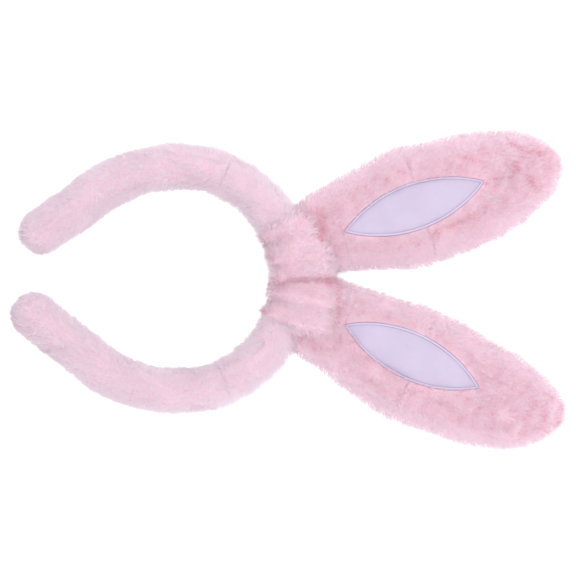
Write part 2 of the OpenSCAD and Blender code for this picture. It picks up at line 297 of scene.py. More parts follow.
floor_finish = Finish("white_paper", Roughness=0.9)
paper_grain = floor_finish.noise(400.0)
floor_finish.set("Base Color", floor_finish.mix(paper_grain, srgb(254, 254, 254), srgb(255, 255, 255)))
floor_mesh.materials.append(floor_finish.material)

# %% [markdown]
# Plush is a knitted backing with a pile of soft fibre. From half a metre the eye reads the pile as small
# clumps: their roots are painted a deeper rose as shade deep in the pile, and their tips are pale. Each tuft
# of the pile carries two numbers in a UV layer, its tone and the height along it, and the colour is worked
# out from those two. Fine fibre lets light through and has no gloss, so a little of it scatters under the
# surface.

# %% Plush finishes
def pile_finish(name, deep, shaded_root, tip):
    """Pile whose colour runs from a root darkened by painted shade to a pale tip, and towards deep rose with
    its tone: random patches, and painted shade where it lies in a crease.
    """
    finish = Finish(name, Roughness=1.0, Specular_IOR_Level=0.0, Subsurface_Weight=0.3,
                    Subsurface_Scale=0.6 * MM, Subsurface_Radius=(1.0, 0.6, 0.7))
    tone, height = finish.pair("OFBake")
    along = finish.mix(height.smooth(0.0, 0.85), srgb(*shaded_root), srgb(*tip))
    shade = finish.mix(tone.smooth(0.0, 0.62), srgb(*deep), (1, 1, 1, 1))
    return finish.set("Base Color", finish.mix(1.0, along, shade, "MULTIPLY"))


def backing_finish(name, light, dark):
    """The knitted backing under the pile."""
    finish = Finish(name, Roughness=0.95)
    knit = finish.noise(900.0, 1.0)
    finish.set("Base Color", finish.mix(knit.smooth(0.35, 0.65), srgb(*dark), srgb(*light)))
    return finish.bump(knit, 0.3 * MM)


finishes = {
    "band_plush": pile_finish("band_pile", (240, 214, 223), (215, 188, 203), (221, 203, 215)),
    "ear_plush": pile_finish("ear_pile", (240, 196, 204), (215, 178, 193), (225, 198, 212)),
    "wrap_plush": pile_finish("wrap_pile", (240, 198, 206), (217, 182, 196), (225, 199, 212)),
    "backing": backing_finish("plush_backing", (226, 194, 207), (222, 186, 200)),
}

# %% [markdown]
# Every soft form here is a stack of rings: a sleeve of cloth is a ring of points carried along a line. A ring
# grid gives the skin's mesh, its normals and the places where the pile grows, all from the same points.

# %% Ring grids
def ring_normals(rings):
    """Outward unit normals at each point of the rings."""
    along = np.gradient(rings, axis=0)
    around = np.roll(rings, -1, axis=1) - np.roll(rings, 1, axis=1)
    normals = np.cross(around, along)
    normals /= np.linalg.norm(normals, axis=2, keepdims=True) + 1e-12
    centre = rings.mean(axis=1, keepdims=True)
    if np.sum(normals * (rings - centre)) < 0:
        normals = -normals
    return normals


def waves(points, size, seed, count=7):
    """A smooth random field from -1 to 1 whose swells are about size metres apart."""
    rng = np.random.default_rng(seed)
    heading = rng.normal(size=(count, 3))
    heading /= np.linalg.norm(heading, axis=1, keepdims=True)
    pitch = rng.uniform(0.75, 1.35, count) * 2 * math.pi / size
    start = rng.uniform(0, 2 * math.pi, count)
    return np.sin(points @ (heading * pitch[:, None]).T + start).sum(axis=-1) / math.sqrt(count * 1.6)


def mesh_object(name, points, faces, finish):
    """A smooth-shaded mesh object with a finish."""
    mesh = bpy.data.meshes.new(name)
    mesh.from_pydata(points.tolist(), [], faces)
    mesh.polygons.foreach_set("use_smooth", [True] * len(mesh.polygons))
    mesh.materials.append(finish.material)
    mesh.update()
    return add_object(name, mesh)


def turned(faces, flip):
    """Faces as a list, each turned over if flip is true."""
    return (faces[:, ::-1] if flip else faces).tolist()


def wall_faces(rows, columns, start, flip, closed=False):
    """Quads between neighbouring rings, as indices from start. Closed joins the last ring to the first."""
    grid = start + np.arange(rows * columns).reshape(rows, columns)
    if closed:
        grid = np.concatenate((grid, grid[:1]))
    beside = np.roll(grid, -1, axis=1)
    return turned(np.stack((grid[:-1], beside[:-1], beside[1:], grid[1:]), axis=-1).reshape(-1, 4), flip)


def faces_out(rings):
    """True if the quads of these rings face outward as wall_faces gives them."""
    middle = len(rings) // 2
    across = np.cross(rings[middle, 1] - rings[middle, 0], rings[middle + 1, 0] - rings[middle, 0])
    return across @ (rings[middle, 0] - rings[middle].mean(axis=0)) > 0


def skin(name, rings, finish, wall=0.8 * MM):
    """A sleeve of cloth: the rings, a second wall inside them, and a rim at each end."""
    rows, columns, _ = rings.shape
    inner = rings - ring_normals(rings) * wall
    points = np.concatenate((rings.reshape(-1, 3), inner.reshape(-1, 3)))
    outward = faces_out(rings)
    faces = wall_faces(rows, columns, 0, not outward)
    faces += wall_faces(rows, columns, rows * columns, outward)
    for row in (0, rows - 1):
        outer = row * columns + np.arange(columns)
        after = np.roll(outer, -1)
        rim = np.stack((outer, after, after + rows * columns, outer + rows * columns), axis=1)
        faces += turned(rim, (row == 0) == outward)
    return mesh_object(name, points, faces, finish)


def plug(name, rings, finish):
    """A solid of rings, closed at both ends."""
    rows, columns, _ = rings.shape
    ends = np.stack((rings[0].mean(axis=0), rings[-1].mean(axis=0)))
    points = np.concatenate((rings.reshape(-1, 3), ends))
    outward = faces_out(rings)
    faces = wall_faces(rows, columns, 0, not outward)
    for row, centre in ((0, rows * columns), (rows - 1, rows * columns + 1)):
        ring = row * columns + np.arange(columns)
        fan = np.stack((ring, np.roll(ring, -1), np.full(columns, centre)), axis=1)
        faces += turned(fan, (row == 0) == outward)
    return mesh_object(name, points, faces, finish)


# %% [markdown]
# The pile is grown on the ring grid. Tufts are scattered evenly over the cloth by a seeded random draw. Each
# is a slim spindle that rises from the cloth and lies over in the combing direction, and the tufts of one
# clump lean together. Their shading normals are part cloth and part tuft, so the fur looks soft, not spiky.
# A side of the band or an ear is grown whole and its tufts are then shared out, so no cut line shows.

# %% Grow a pile
def unit(vectors):
    return vectors / (np.linalg.norm(vectors, axis=-1, keepdims=True) + 1e-12)


def nearest(points, targets):
    """For each point, the index of the nearest target."""
    tree = KDTree(len(targets))
    for index, target in enumerate(targets):
        tree.insert(target, index)
    tree.balance()
    return np.array([tree.find(point)[1] for point in points])


TUFTS_PER_MM2 = 2.8
CLUMP_EVERY = 30
FINE_SHARE = 0.6
PILE_LENGTH = 4.6 * MM
TUFT_WIDTH = 0.38 * MM
SWIRL = 0.6
SOFTNESS = 0.45
TONE_SPREAD = 0.012


def grow_pile(parts, rings, finish, comb, keep, tone, seed, droop=None):
    """Pile on a ring grid, shared out over the named parts.

    comb gives the way it lies, keep where it grows, tone its colour with its painted shade, and droop its
    share of the full length.
    """
    rng = np.random.default_rng(seed)
    normals = ring_normals(rings)
    wide = np.concatenate((rings, rings[:, :1]), axis=1)
    wide_n = np.concatenate((normals, normals[:, :1]), axis=1)
    first = wide[1:, 1:] - wide[:-1, :-1]
    second = wide[1:, :-1] - wide[:-1, 1:]
    area = np.linalg.norm(np.cross(first, second), axis=2).ravel() / 2
    count = int(area.sum() * TUFTS_PER_MM2 / MM**2)
    cell = rng.choice(area.size, count, p=area / area.sum())
    row, column = np.divmod(cell, wide.shape[1] - 1)
    down, across = rng.random((2, count, 1))

    def between(grid):
        top = grid[row, column] * (1 - across) + grid[row, column + 1] * across
        bottom = grid[row + 1, column] * (1 - across) + grid[row + 1, column + 1] * across
        return top * (1 - down) + bottom * down

    roots = between(wide)
    normal = unit(between(wide_n))
    grows = keep(roots)
    roots, normal = roots[grows], normal[grows]
    count = len(roots)
    centres = rng.permutation(count)[: max(8, count // CLUMP_EVERY)]
    clump = nearest(roots, roots[centres])

    def uneven(of_clump, of_tuft):
        return rng.normal(0, of_clump, len(centres))[clump] + rng.normal(0, of_tuft, count)

    def tilted(share):
        return normal * np.cos(lean * share) + lie * np.sin(lean * share)

    lie = comb(roots)
    lie = unit(lie - normal * np.sum(lie * normal, axis=1, keepdims=True))
    side = np.cross(normal, lie)
    turn = (SWIRL * waves(roots, 22 * MM, seed + 1) + uneven(0.20, 0.22))[:, None]
    lie = lie * np.cos(turn) + side * np.sin(turn)
    lean = 0.74 + 0.07 * waves(roots, 30 * MM, seed + 2) + uneven(0.07, 0.08)
    lean = np.clip(lean, 0.3, 1.0)[:, None]
    reach = PILE_LENGTH * (1 + uneven(0.10, 0.10))
    strays = rng.random(count) < FINE_SHARE
    reach = np.where(strays, reach * rng.uniform(0.9, 1.5, count), reach)
    lean = np.where(strays[:, None], lean * rng.uniform(0.3, 0.9, (count, 1)), lean)
    if droop is not None:
        reach = reach * droop(roots)
    reach = reach[:, None]
    middle = roots + tilted(0.55) * reach * 0.5
    tip = middle + tilted(1.25) * reach * 0.5
    gather = (roots[centres][clump] - roots) * np.where(strays, 0.04, 0.15)[:, None]
    tip = tip + gather
    middle = middle + gather * 0.35
    way = unit(tip - roots)
    roll = rng.uniform(0, 2 * math.pi, (count, 1))
    flat = unit(np.cross(way, lie))
    flat = unit(flat * np.cos(roll) + np.cross(way, flat) * np.sin(roll))
    over = np.cross(way, flat)
    half = (TUFT_WIDTH * rng.uniform(0.8, 1.2, count) * np.where(strays, 0.35, 1.0))[:, None] / 2
    sides = [flat * math.cos(angle) + over * math.sin(angle) for angle in np.radians((0, 120, 240))]
    points = np.stack([roots] + [middle + side * half for side in sides] + [tip], axis=1)
    shade = np.clip(0.62 + tone(roots) + uneven(0.04, 0.03), 0.03, 0.97)
    base = unit(normal * 0.85 + way * 0.15)
    around = [unit(base * SOFTNESS + side * (1 - SOFTNESS)) for side in sides]
    soft = np.stack([base] + around + [base], axis=1)
    made = {}
    for name, belongs in parts.items():
        own = belongs(roots)
        made[name] = tufts(name, points[own], shade[own], soft[own], finish)
        print(name, "tufts", int(own.sum()), "of", count)
    return made


def tufts(name, points, shade, soft, finish):
    """One mesh of slim closed tufts, with their tone and height in the OFBake layer."""
    count = len(points)
    mesh = bpy.data.meshes.new(name)
    mesh.vertices.add(count * 5)
    mesh.vertices.foreach_set("co", points.astype(np.float32).ravel())
    corners = np.array((1, 2, 4, 2, 3, 4, 3, 1, 4, 2, 1, 0, 3, 2, 0, 1, 3, 0))
    loops = (np.arange(count)[:, None] * 5 + corners).ravel()
    mesh.loops.add(len(loops))
    mesh.loops.foreach_set("vertex_index", loops.astype(np.int32))
    mesh.polygons.add(count * 6)
    mesh.polygons.foreach_set("loop_start", np.arange(0, count * 18, 3, dtype=np.int32))
    mesh.polygons.foreach_set("use_smooth", np.ones(count * 6, bool))
    mesh.update(calc_edges=True)
    layer = mesh.uv_layers.new(name="OFBake")
    tone_at = shade[:, None] + TONE_SPREAD * np.array((0, -1, 0, 1, 0))
    height_at = np.broadcast_to(np.array((0.02, 0.5, 0.5, 0.5, 0.98)), (count, 5))
    pairs = np.stack((tone_at, height_at), axis=2)[:, corners]
    layer.data.foreach_set("uv", pairs.astype(np.float32).ravel())
    mesh.materials.append(finish.material)
    mesh.normals_split_custom_set_from_vertices(soft.reshape(-1, 3).tolist())
    made = add_object(name, mesh)
    made.visible_shadow = False
    return made


# %% [markdown]
# The band follows the head: a half circle over the crown, then an arm on each side that curves in and runs
# straight to its round end. One function gives its centre line by the length gone from the top.

# %% The band's centre line
ARMS = {
    "right": {"radius": 99 * MM, "turn": math.radians(35), "straight": 41 * MM, "sway": -1.2 * MM},
    "left": {"radius": 87 * MM, "turn": math.radians(39), "straight": 50 * MM, "sway": 1.9 * MM},
}
QUARTER = BAND_R * math.pi / 2
ROOT_SIZE = 0.985
END_GROWTH = 0.06
GROWS_FROM = 70 * MM
GROWS_OVER = 90 * MM
SWAY_OVER = 60 * MM


def in_plane(x, z):
    """Points or directions in the band's plane."""
    return np.stack((x, np.zeros_like(x), z), axis=-1)


def band_line(side, gone):
    """Points and headings of the centre line at lengths gone from the top of the band."""
    arm = ARMS[side]
    gone = np.asarray(gone, float)
    over = np.clip(gone, None, QUARTER) / BAND_R
    turned = np.clip((gone - QUARTER) / arm["radius"], 0, arm["turn"])
    rest = np.clip(gone - QUARTER - arm["radius"] * arm["turn"], 0, None)
    x = BAND_R * np.sin(over) + arm["radius"] * (np.cos(turned) - 1) - rest * math.sin(arm["turn"])
    z = BAND_R * np.cos(over) - arm["radius"] * np.sin(turned) - rest * math.cos(arm["turn"])
    heading_x = np.where(gone < QUARTER, np.cos(over), -np.sin(turned))
    heading_z = np.where(gone < QUARTER, -np.sin(over), -np.cos(turned))
    sign = SIDES[side]
    return in_plane(sign * x, z + BAND_CENTRE[2]), in_plane(sign * heading_x, heading_z)


def arm_length(side):
    """The centre line's length from the top to the middle of the arm's round end."""
    arm = ARMS[side]
    return QUARTER + arm["radius"] * arm["turn"] + arm["straight"]


RING_POINTS = 40
RING_STEP = 2.4 * MM


def band_rings(side, start, end, radius, lumps=0.5 * MM, round_end=False):
    """Rings of a soft tube round the centre line from start to end."""
    count = max(4, int((end - start) / RING_STEP))
    gone = np.linspace(start, end, count)
    size = radius * (ROOT_SIZE + END_GROWTH * np.clip((gone - GROWS_FROM) / GROWS_OVER, 0, 1))
    if round_end:
        swing = np.linspace(0, math.pi / 2, 12)[1:]
        gone = np.concatenate((gone, end + radius * np.sin(swing)))
        size = np.concatenate((size, size[-1] * np.maximum(np.cos(swing), 0.012)))
    points, headings = band_line(side, gone)
    outward = in_plane(-headings[:, 2], headings[:, 0]) * SIDES[side]
    angle = np.linspace(0, 2 * math.pi, RING_POINTS, endpoint=False)
    ring = outward[:, None] * np.cos(angle)[None, :, None] + TO_FRONT * np.sin(angle)[None, :, None]
    strayed = ARMS[side]["sway"] * np.clip((gone - QUARTER) / SWAY_OVER, 0, 1)
    rings = points[:, None] + outward[:, None] * strayed[:, None, None] + ring * size[:, None, None]
    swell = waves(rings, 26 * MM, 11) + 0.5 * waves(rings, 12 * MM, 12)
    return rings + ring * (swell * lumps * (size / radius)[:, None])[..., None]


ARM_JOINT = BAND_R * math.radians(42)
SPLIT_ANGLE = 66
SPLIT = BAND_R * math.radians(SPLIT_ANGLE)
JOINT_REACH = 9 * MM


bends = {}
for side in SIDES:
    upper_arm = side + "_upper_arm"
    for part, first, second, joint in (("upper", "crown", upper_arm, ARM_JOINT),
                                       ("lower", upper_arm, side + "_lower_arm", QUARTER)):
        reach = band_line(side, np.array((joint - JOINT_REACH, joint + JOINT_REACH)))[0]
        bends[side, part] = (first, second, *map(tuple, reach.tolist()))


def settle(piece, bend, replaced=()):
    """Fixes a finished piece to one body if bend names one, else bakes its place into its mesh, and hides the
    CAD parts it replaces.
    """
    if isinstance(bend, str):
        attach(piece, bend)
    else:
        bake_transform(piece)
    if replaced:
        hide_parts(*replaced)
    return piece


# %% [markdown]
# The band's plush sleeve and its foam come next. Each side is two lengths, each spanning one joint.

# %% Foam finish and band skins
foam = Finish("foam", Roughness=0.9)
cells = foam.node("ShaderNodeTexVoronoi", {"feature": "DISTANCE_TO_EDGE"},
                  {"Vector": foam.place(), "Scale": 700.0})
foam.set("Base Color", foam.mix(cells.smooth(0.0, 0.25), srgb(214, 205, 190), srgb(240, 234, 222)))
foam.bump(cells, 0.3 * MM)

FOAM_R = 10.3 * MM
skins = {}
for side in SIDES:
    lengths = {"upper": (0.0, SPLIT, False), "lower": (SPLIT, arm_length(side), True)}
    for part, (begin, stop, rounded) in lengths.items():
        own = side + "_" + part
        starts = [own + "_arm_"] + (["crown_"] if part == "upper" else [])
        rings = band_rings(side, begin, stop, SKIN_R, round_end=rounded)
        skins[side, part] = rings
        piece = skin(own + "_band_skin", rings, finishes["backing"])
        settle(piece, bends[side, part], [start + "sleeve" for start in starts])
        core = band_rings(side, begin, stop, FOAM_R, lumps=0, round_end=rounded)
        core = plug(own + "_band_foam", core, foam)
        settle(core, bends[side, part], [start + "foam" for start in starts])

# %% [markdown]
# An ear is two panels sewn edge to edge, turned and stuffed: widest past the middle, with a round tip and a
# gathered foot. Its outline and its thickness are two formulas of the length along the ear. A short table
# then pushes the middle line and the edges about a little, because two hand-stuffed ears are never alike.

# %% The ear's form
BASE_HALF = 25.5 * MM
WIDE_HALF = 37 * MM
THICK_HALF = 11 * MM
WAIST_AT = 24 * MM
WIDEST_AT = 94 * MM
FOOT_AT = 5 * MM
FOOT_HALF = 13 * MM
TIP_POWER = 2.2
THIN_POWER = 0.6


def tip_share(place, along):
    run = np.clip((along - WIDEST_AT) / (place.length - WIDEST_AT), 0, 1)
    return np.sqrt(np.maximum(1 - run**TIP_POWER, 0))


def half_width(place, along):
    """Half the ear's width at a length along it."""
    rise = np.clip((along - WAIST_AT) / (WIDEST_AT - WAIST_AT), 0, 1)
    body = BASE_HALF + (WIDE_HALF - BASE_HALF) * (1 - np.cos(math.pi * rise)) / 2
    foot = np.clip((along - FOOT_AT) / (WAIST_AT - FOOT_AT), 0, 1)
    body = np.where(along < WAIST_AT, FOOT_HALF + (BASE_HALF - FOOT_HALF) * np.sin(foot * math.pi / 2), body)
    tip = WIDE_HALF * tip_share(place, along)
    fuller = fullness(place.side, along) * np.clip(tip / BASE_HALF, 0, 1)
    return np.where(along > WIDEST_AT, tip, body) + fuller


def half_thickness(place, along):
    return THICK_HALF * np.where(along > WIDEST_AT, tip_share(place, along) ** THIN_POWER, 1.0)


def cloth_size(place, along):
    """Half the width and half the thickness of the cloth under the pile."""
    return half_width(place, along) - EAR_PILE_ROOM, half_thickness(place, along) - EAR_PILE_ROOM


def swell_at(along, place, reach):
    """A soft bump of 1 at a place along the ear, fading over reach."""
    return np.exp(-(((along - place) / reach) ** 2))


# Each row, in millimetres: where along the ear, over what reach, how far outward, how much fuller.
TOUCHES = {
    "right": ((36, 14, 0.3, 0.3), (58, 16, 0.2, 1.6), (80, 18, -0.6, 0.8), (184, 30, 1.0, 0.0)),
    "left": ((40, 16, -1.8, 2.0), (68, 22, 1.3, 0.6), (118, 24, 1.3, -1.8), (198, 20, -7.0, 0.5)),
}


def sway(side, along):
    """How far outward the ear's middle line strays, because stuffing is never even."""
    return sum(out * MM * swell_at(along, at * MM, reach * MM) for at, reach, out, _ in TOUCHES[side])


def fullness(side, along):
    """How much the stuffing pushes out each edge of the ear."""
    return sum(full * MM * swell_at(along, at * MM, reach * MM) for at, reach, _, full in TOUCHES[side])


def crown_of(share):
    """The height of the stuffed front at a share of the half width, from 1 in the middle to 0 at the seam."""
    return np.maximum(1 - np.abs(share) ** 2.5, 0) ** 0.62


EAR_ROWS = 74
EAR_COLUMNS = 64
EAR_LUMPS = 0.7 * MM


def stuffing_swell(side, points):
    """The lumps of the ear's stuffing, from about -1.5 to 1.5."""
    sign = SIDES[side]
    return waves(points, 34 * MM, 21 + sign) + 0.5 * waves(points, 15 * MM, 31 + sign)


def ear_rings(side, start, inset, lumps=EAR_LUMPS):
    """Rings of an ear from start to the tip, drawn in by inset."""
    place = places[side]
    gone = np.linspace(0, 1, EAR_ROWS)
    along = start + (place.length - inset - start) * (1 - (1 - gone) ** 1.7)
    along = np.minimum(along, place.length - inset - 0.05 * MM)
    shrunk = np.clip((along - start) / (place.length - inset - start), 0, 1)
    at = start + (place.length - start) * shrunk
    wide = np.maximum(half_width(place, at) - inset, 0.15 * MM)
    thick = np.maximum(half_thickness(place, at) - inset, 0.1 * MM)
    angle = np.linspace(0, 2 * math.pi, EAR_COLUMNS, endpoint=False)
    share = np.cos(angle)
    out = wide[:, None] * share[None] + sway(side, at)[:, None]
    front = thick[:, None] * (crown_of(share) * np.sign(np.sin(angle)))[None]
    rings = place.point(out, np.broadcast_to(along[:, None], out.shape), front)
    fade = np.clip(wide / (12 * MM), 0, 1)[:, None]
    return rings + ring_normals(rings) * (stuffing_swell(side, rings) * fade * lumps)[..., None], along


# %% [markdown]
# The leaf-shaped satin panel is the overlap of two equal circles. The distance in from its edge is all that
# the other steps need: the plush stops there, and its pile is combed away from it.

# %% The leaf
LEAF_HALF_L = 47 * MM
LEAF_HALF_W = 14.5 * MM
LEAF_AT = 85.4 * MM
LEAF_R = (LEAF_HALF_L**2 + LEAF_HALF_W**2) / (2 * LEAF_HALF_W)
LEAF_TILT = {"right": math.radians(2.7), "left": math.radians(1.2)}
LEAF_SHIFT = {"right": 0.7 * MM, "left": 3.8 * MM}


def leaf_local(side, out, along):
    """Distances across and along the leaf of a place on the ear."""
    tilt = LEAF_TILT[side]
    out = out + LEAF_SHIFT[side]
    along = along - LEAF_AT
    return out * math.cos(tilt) - along * math.sin(tilt), out * math.sin(tilt) + along * math.cos(tilt)


def leaf_to_ear(side, across, length):
    """The ear's own out and along of a place on the leaf."""
    tilt = LEAF_TILT[side]
    out = across * math.cos(tilt) + length * math.sin(tilt)
    along = length * math.cos(tilt) - across * math.sin(tilt)
    return out - LEAF_SHIFT[side], along + LEAF_AT


def inside_leaf(side, out, along):
    """How far inside the leaf's edge a place is, below zero outside it."""
    across, length = leaf_local(side, out, along)
    offset = LEAF_R - LEAF_HALF_W
    return LEAF_R - np.hypot(np.abs(across) + offset, length)


# %% [markdown]
# An ear is three lengths of cloth: the foot, at the joint where the ear leans, the tip, at the joint where it
# folds, and the blade between them, which rides the ear's own body. The blade's lower edge is tucked into the
# foot, with room to splay.

# %% Ear bends
LEAN_START = 18 * MM
LEAN_END = 30 * MM
BLADE_FOOT = 28 * MM
FOOT_TOP = 37 * MM
SPLIT_EAR = 90 * MM
FOLD_START = 133 * MM
FOLD_END = 153 * MM


for side, place in places.items():
    ear = side + "_ear"
    for part, first, second, reach in (("foot", "crown", ear + "_neck", (LEAN_START, LEAN_END)),
                                       ("tip", ear, ear + "_tip", (FOLD_START, FOLD_END))):
        bends[side, part] = (first, second, *map(tuple, place.point(0.0, reach)))
    bends[side, "blade"] = ear

# %% Ear skins and fillings
filling = Finish("fibre_filling", Roughness=0.95)
fluff = filling.noise(500.0, 4.0, 0.7)
filling.set("Base Color", filling.mix(fluff, srgb(226, 224, 222), srgb(250, 250, 248)))
filling.bump(fluff, 0.5 * MM)

FILLING_FROM = 12 * MM
FILLING_INSET = 3.2 * MM
TUCK = 0.9 * MM
TUCK_OVER = 4 * MM


def row_at(along, place):
    """The ring nearest to a place along the ear."""
    return int(np.argmin(np.abs(along - place)))


EAR_NODES = {
    "foot": ("ear_base", "ear_neck"),
    "blade": ("front_plush", "back_plush"),
    "tip": ("tip_front_plush", "tip_back_plush"),
}
forms = {}
for side in SIDES:
    whole, along = ear_rings(side, FOOT_AT, EAR_PILE_ROOM)
    forms[side, "ear"] = whole
    split = row_at(along, SPLIT_EAR)
    rows = {
        "foot": (0, row_at(along, FOOT_TOP)),
        "blade": (row_at(along, BLADE_FOOT), split),
        "tip": (split, len(along) - 1),
    }
    for part, (low, high) in rows.items():
        rings = whole[low : high + 1]
        if part == "blade":
            tucked = np.clip((FOOT_TOP - along[low : high + 1]) / TUCK_OVER, 0, 1) * TUCK
            rings = rings - ring_normals(rings) * tucked[:, None, None]
        piece = skin(side + "_ear_" + part + "_skin", rings, finishes["backing"])
        nodes = [side + "_" + node for node in EAR_NODES[part]]
        settle(piece, bends[side, part], nodes)
    stuffed, along = ear_rings(side, FILLING_FROM, FILLING_INSET, lumps=0)
    split = row_at(along, SPLIT_EAR)
    core = plug(side + "_ear_stuffing", stuffed[row_at(along, FOOT_TOP) : split + 1], filling)
    settle(core, bends[side, "blade"], [side + "_ear_filling"])
    core = plug(side + "_tip_stuffing", stuffed[split:], filling)
    settle(core, bends[side, "tip"], [side + "_tip_filling"])

# %% [markdown]
# A wrap is a loop of plush pulled tight round the band and the ear's foot. It bulges like an egg, higher
# towards the ear, and its open sides turn in to the band with small pleats.

# %% Wraps
# From and to are degrees round the band; box is how squarely the sides turn in.
WRAPS = {
    "right": {"from": -3.2, "to": 29.0, "top": 29 * MM, "box": 2.6},
    "left": {"from": 0.8, "to": 23.5, "top": 38 * MM, "box": 4.0},
}
WRAP_UNDER = 12.2 * MM
WRAP_FRONT = 15.4 * MM
WRAP_ROWS = 34
WRAP_COLUMNS = 64


def wrap_heights(wrap):
    """The middle and the half height of a wrap's bulge, from the band's centre line."""
    return (wrap["top"] - WRAP_UNDER) / 2, (wrap["top"] + WRAP_UNDER) / 2


def wrap_rings(side):
    """Rings of a wrap, carried round the band from its inner side to its outer side."""
    wrap = WRAPS[side]
    share = np.linspace(0, 1, WRAP_ROWS)
    angle = np.radians(wrap["from"] + (wrap["to"] - wrap["from"]) * share)
    edge = np.sqrt(np.clip(1 - np.abs(2 * share - 1) ** wrap["box"], 0, 1))
    turn = np.linspace(0, 2 * math.pi, WRAP_COLUMNS, endpoint=False)
    up = np.cos(turn)
    middle, half = wrap_heights(wrap)
    grown = 0.62 + 0.38 * edge
    high = middle * edge[:, None] + half * grown[:, None] * np.sign(up) * np.abs(up) ** 0.9
    front = WRAP_FRONT * grown[:, None] * np.sin(turn) * (1 - 0.20 * np.clip(up, 0, 1) ** 2)
    pleat = waves(in_plane(angle * 0.1, angle * 0), 11 * MM, 71 + SIDES[side])
    pleat = (0.7 * MM * edge * pleat)[:, None] * np.ones(WRAP_COLUMNS)
    radius = BAND_R + high + pleat * up
    front = front * (1 + pleat / WRAP_FRONT)
    sign = SIDES[side]
    x = sign * radius * np.sin(angle)[:, None]
    z = radius * np.cos(angle)[:, None] + BAND_CENTRE[2]
    rings = np.stack((x, -front, z), axis=-1)
    return rings + ring_normals(rings) * (waves(rings, 20 * MM, 51 + sign) * 0.7 * MM)[..., None]


for side in SIDES:
    rings = wrap_rings(side)
    forms[side, "wrap"] = rings
    piece = skin(side + "_wrap_skin", rings, finishes["backing"])
    settle(piece, bends[side, "foot"], [side + "_ear_wrap"])

# %% [markdown]
# The satin is a thin cloth, cut as the leaf and stretched over the stuffing. It stands a little proud of the
# cloth it is sewn to, and a satin-stitched cord covers its raw edge.

# %% Satin and border finishes
satin = Finish("satin", Roughness=0.42, Sheen_Weight=0.15, Sheen_Roughness=0.3, Anisotropic=0.4,
               Specular_IOR_Level=0.35)
weave = satin.node("ShaderNodeTexWave", {"bands_direction": "X"}, {"Vector": satin.place(), "Scale": 900.0})
cloud = satin.noise(60.0)
satin.set("Base Color", satin.mix(cloud.smooth(0.3, 0.7), srgb(169, 158, 180), srgb(173, 162, 183)))
satin.bump(weave, 0.03 * MM, 0.4)

thread = Finish("border_thread", Roughness=0.35, Sheen_Weight=0.1)
lay, run = thread.pair("Lay")
rounded = 1 - (2 * lay - 1) ** 2
STRAND_PITCH = 0.45
strands = run.maths("SINE", run * (2 * math.pi / STRAND_PITCH))
# Painted shade: the cord is darker at its sides and between its strands.
shade = rounded.smooth(0.05, 0.75) * (0.86 + strands * 0.10)
thread.set("Base Color", thread.mix(shade, srgb(138, 121, 150), srgb(184, 173, 200)))
thread.bump(strands, 0.08 * MM, 0.5)


# %% Satin panels and borders
SATIN_LIFT = 0.7 * MM
SATIN_T = 0.25 * MM
SATIN_REACH = 0.997
SATIN_GRID = (61, 21)


def front_at(side, out, along):
    """The front of the plush cloth at a place on the ear."""
    place = places[side]
    wide, thick = cloth_size(place, along)
    flat = thick * crown_of(np.clip((out - sway(side, along)) / wide, -1, 1))
    return flat + stuffing_swell(side, place.point(out, along, flat)) * EAR_LUMPS


def turn_faces_out(piece):
    """Makes every face of a closed piece look outward."""
    work = bmesh.new()
    work.from_mesh(piece.data)
    bmesh.ops.recalc_face_normals(work, faces=work.faces)
    work.to_mesh(piece.data)
    work.free()


def satin_panel(side):
    """The leaf as a thin closed cloth that follows the ear's front."""
    place = places[side]
    rows, columns = SATIN_GRID
    length = np.sin(np.linspace(-math.pi / 2, math.pi / 2, rows)) * LEAF_HALF_L * SATIN_REACH
    edge = np.sqrt(LEAF_R**2 - length**2) - (LEAF_R - LEAF_HALF_W)
    share = np.linspace(-1, 1, columns)
    across = edge[:, None] * share[None]
    out, along = leaf_to_ear(side, across, np.broadcast_to(length[:, None], across.shape))
    depth = np.clip(edge[:, None] * (1 - np.abs(share)[None]), 0, 3 * MM) / (3 * MM)
    tension = waves(place.point(out, along), 13 * MM, 61) * 0.25 * MM * depth
    front = front_at(side, out, along) + SATIN_LIFT * np.sqrt(depth) + tension
    top = place.point(out, along, front).reshape(-1, 3)
    bottom = top - TO_FRONT * SATIN_T
    grid = np.arange(rows * columns).reshape(rows, columns)
    quads = np.stack((grid[:-1, :-1], grid[:-1, 1:], grid[1:, 1:], grid[1:, :-1]), axis=-1).reshape(-1, 4)
    rim = np.concatenate((grid[:, 0], grid[-1, 1:], grid[-2::-1, -1], grid[0, -2:0:-1]))
    after = np.roll(rim, -1)
    walls = np.stack((rim, after, grid.size + after, grid.size + rim), axis=1)
    faces = quads.tolist() + turned(grid.size + quads, True) + walls.tolist()
    panel = mesh_object(side + "_satin_panel", np.concatenate((top, bottom)), faces, satin)
    turn_faces_out(panel)
    return panel


BORDER_HALF = 0.95 * MM
BORDER_HIGH = 0.75 * MM
BORDER_LIFT = 0.25 * MM
BORDER_STEPS = 220
BORDER_POINTS = 12
RIDGE_DEPTH = 0.06
RIDGE_PITCH = 1.1


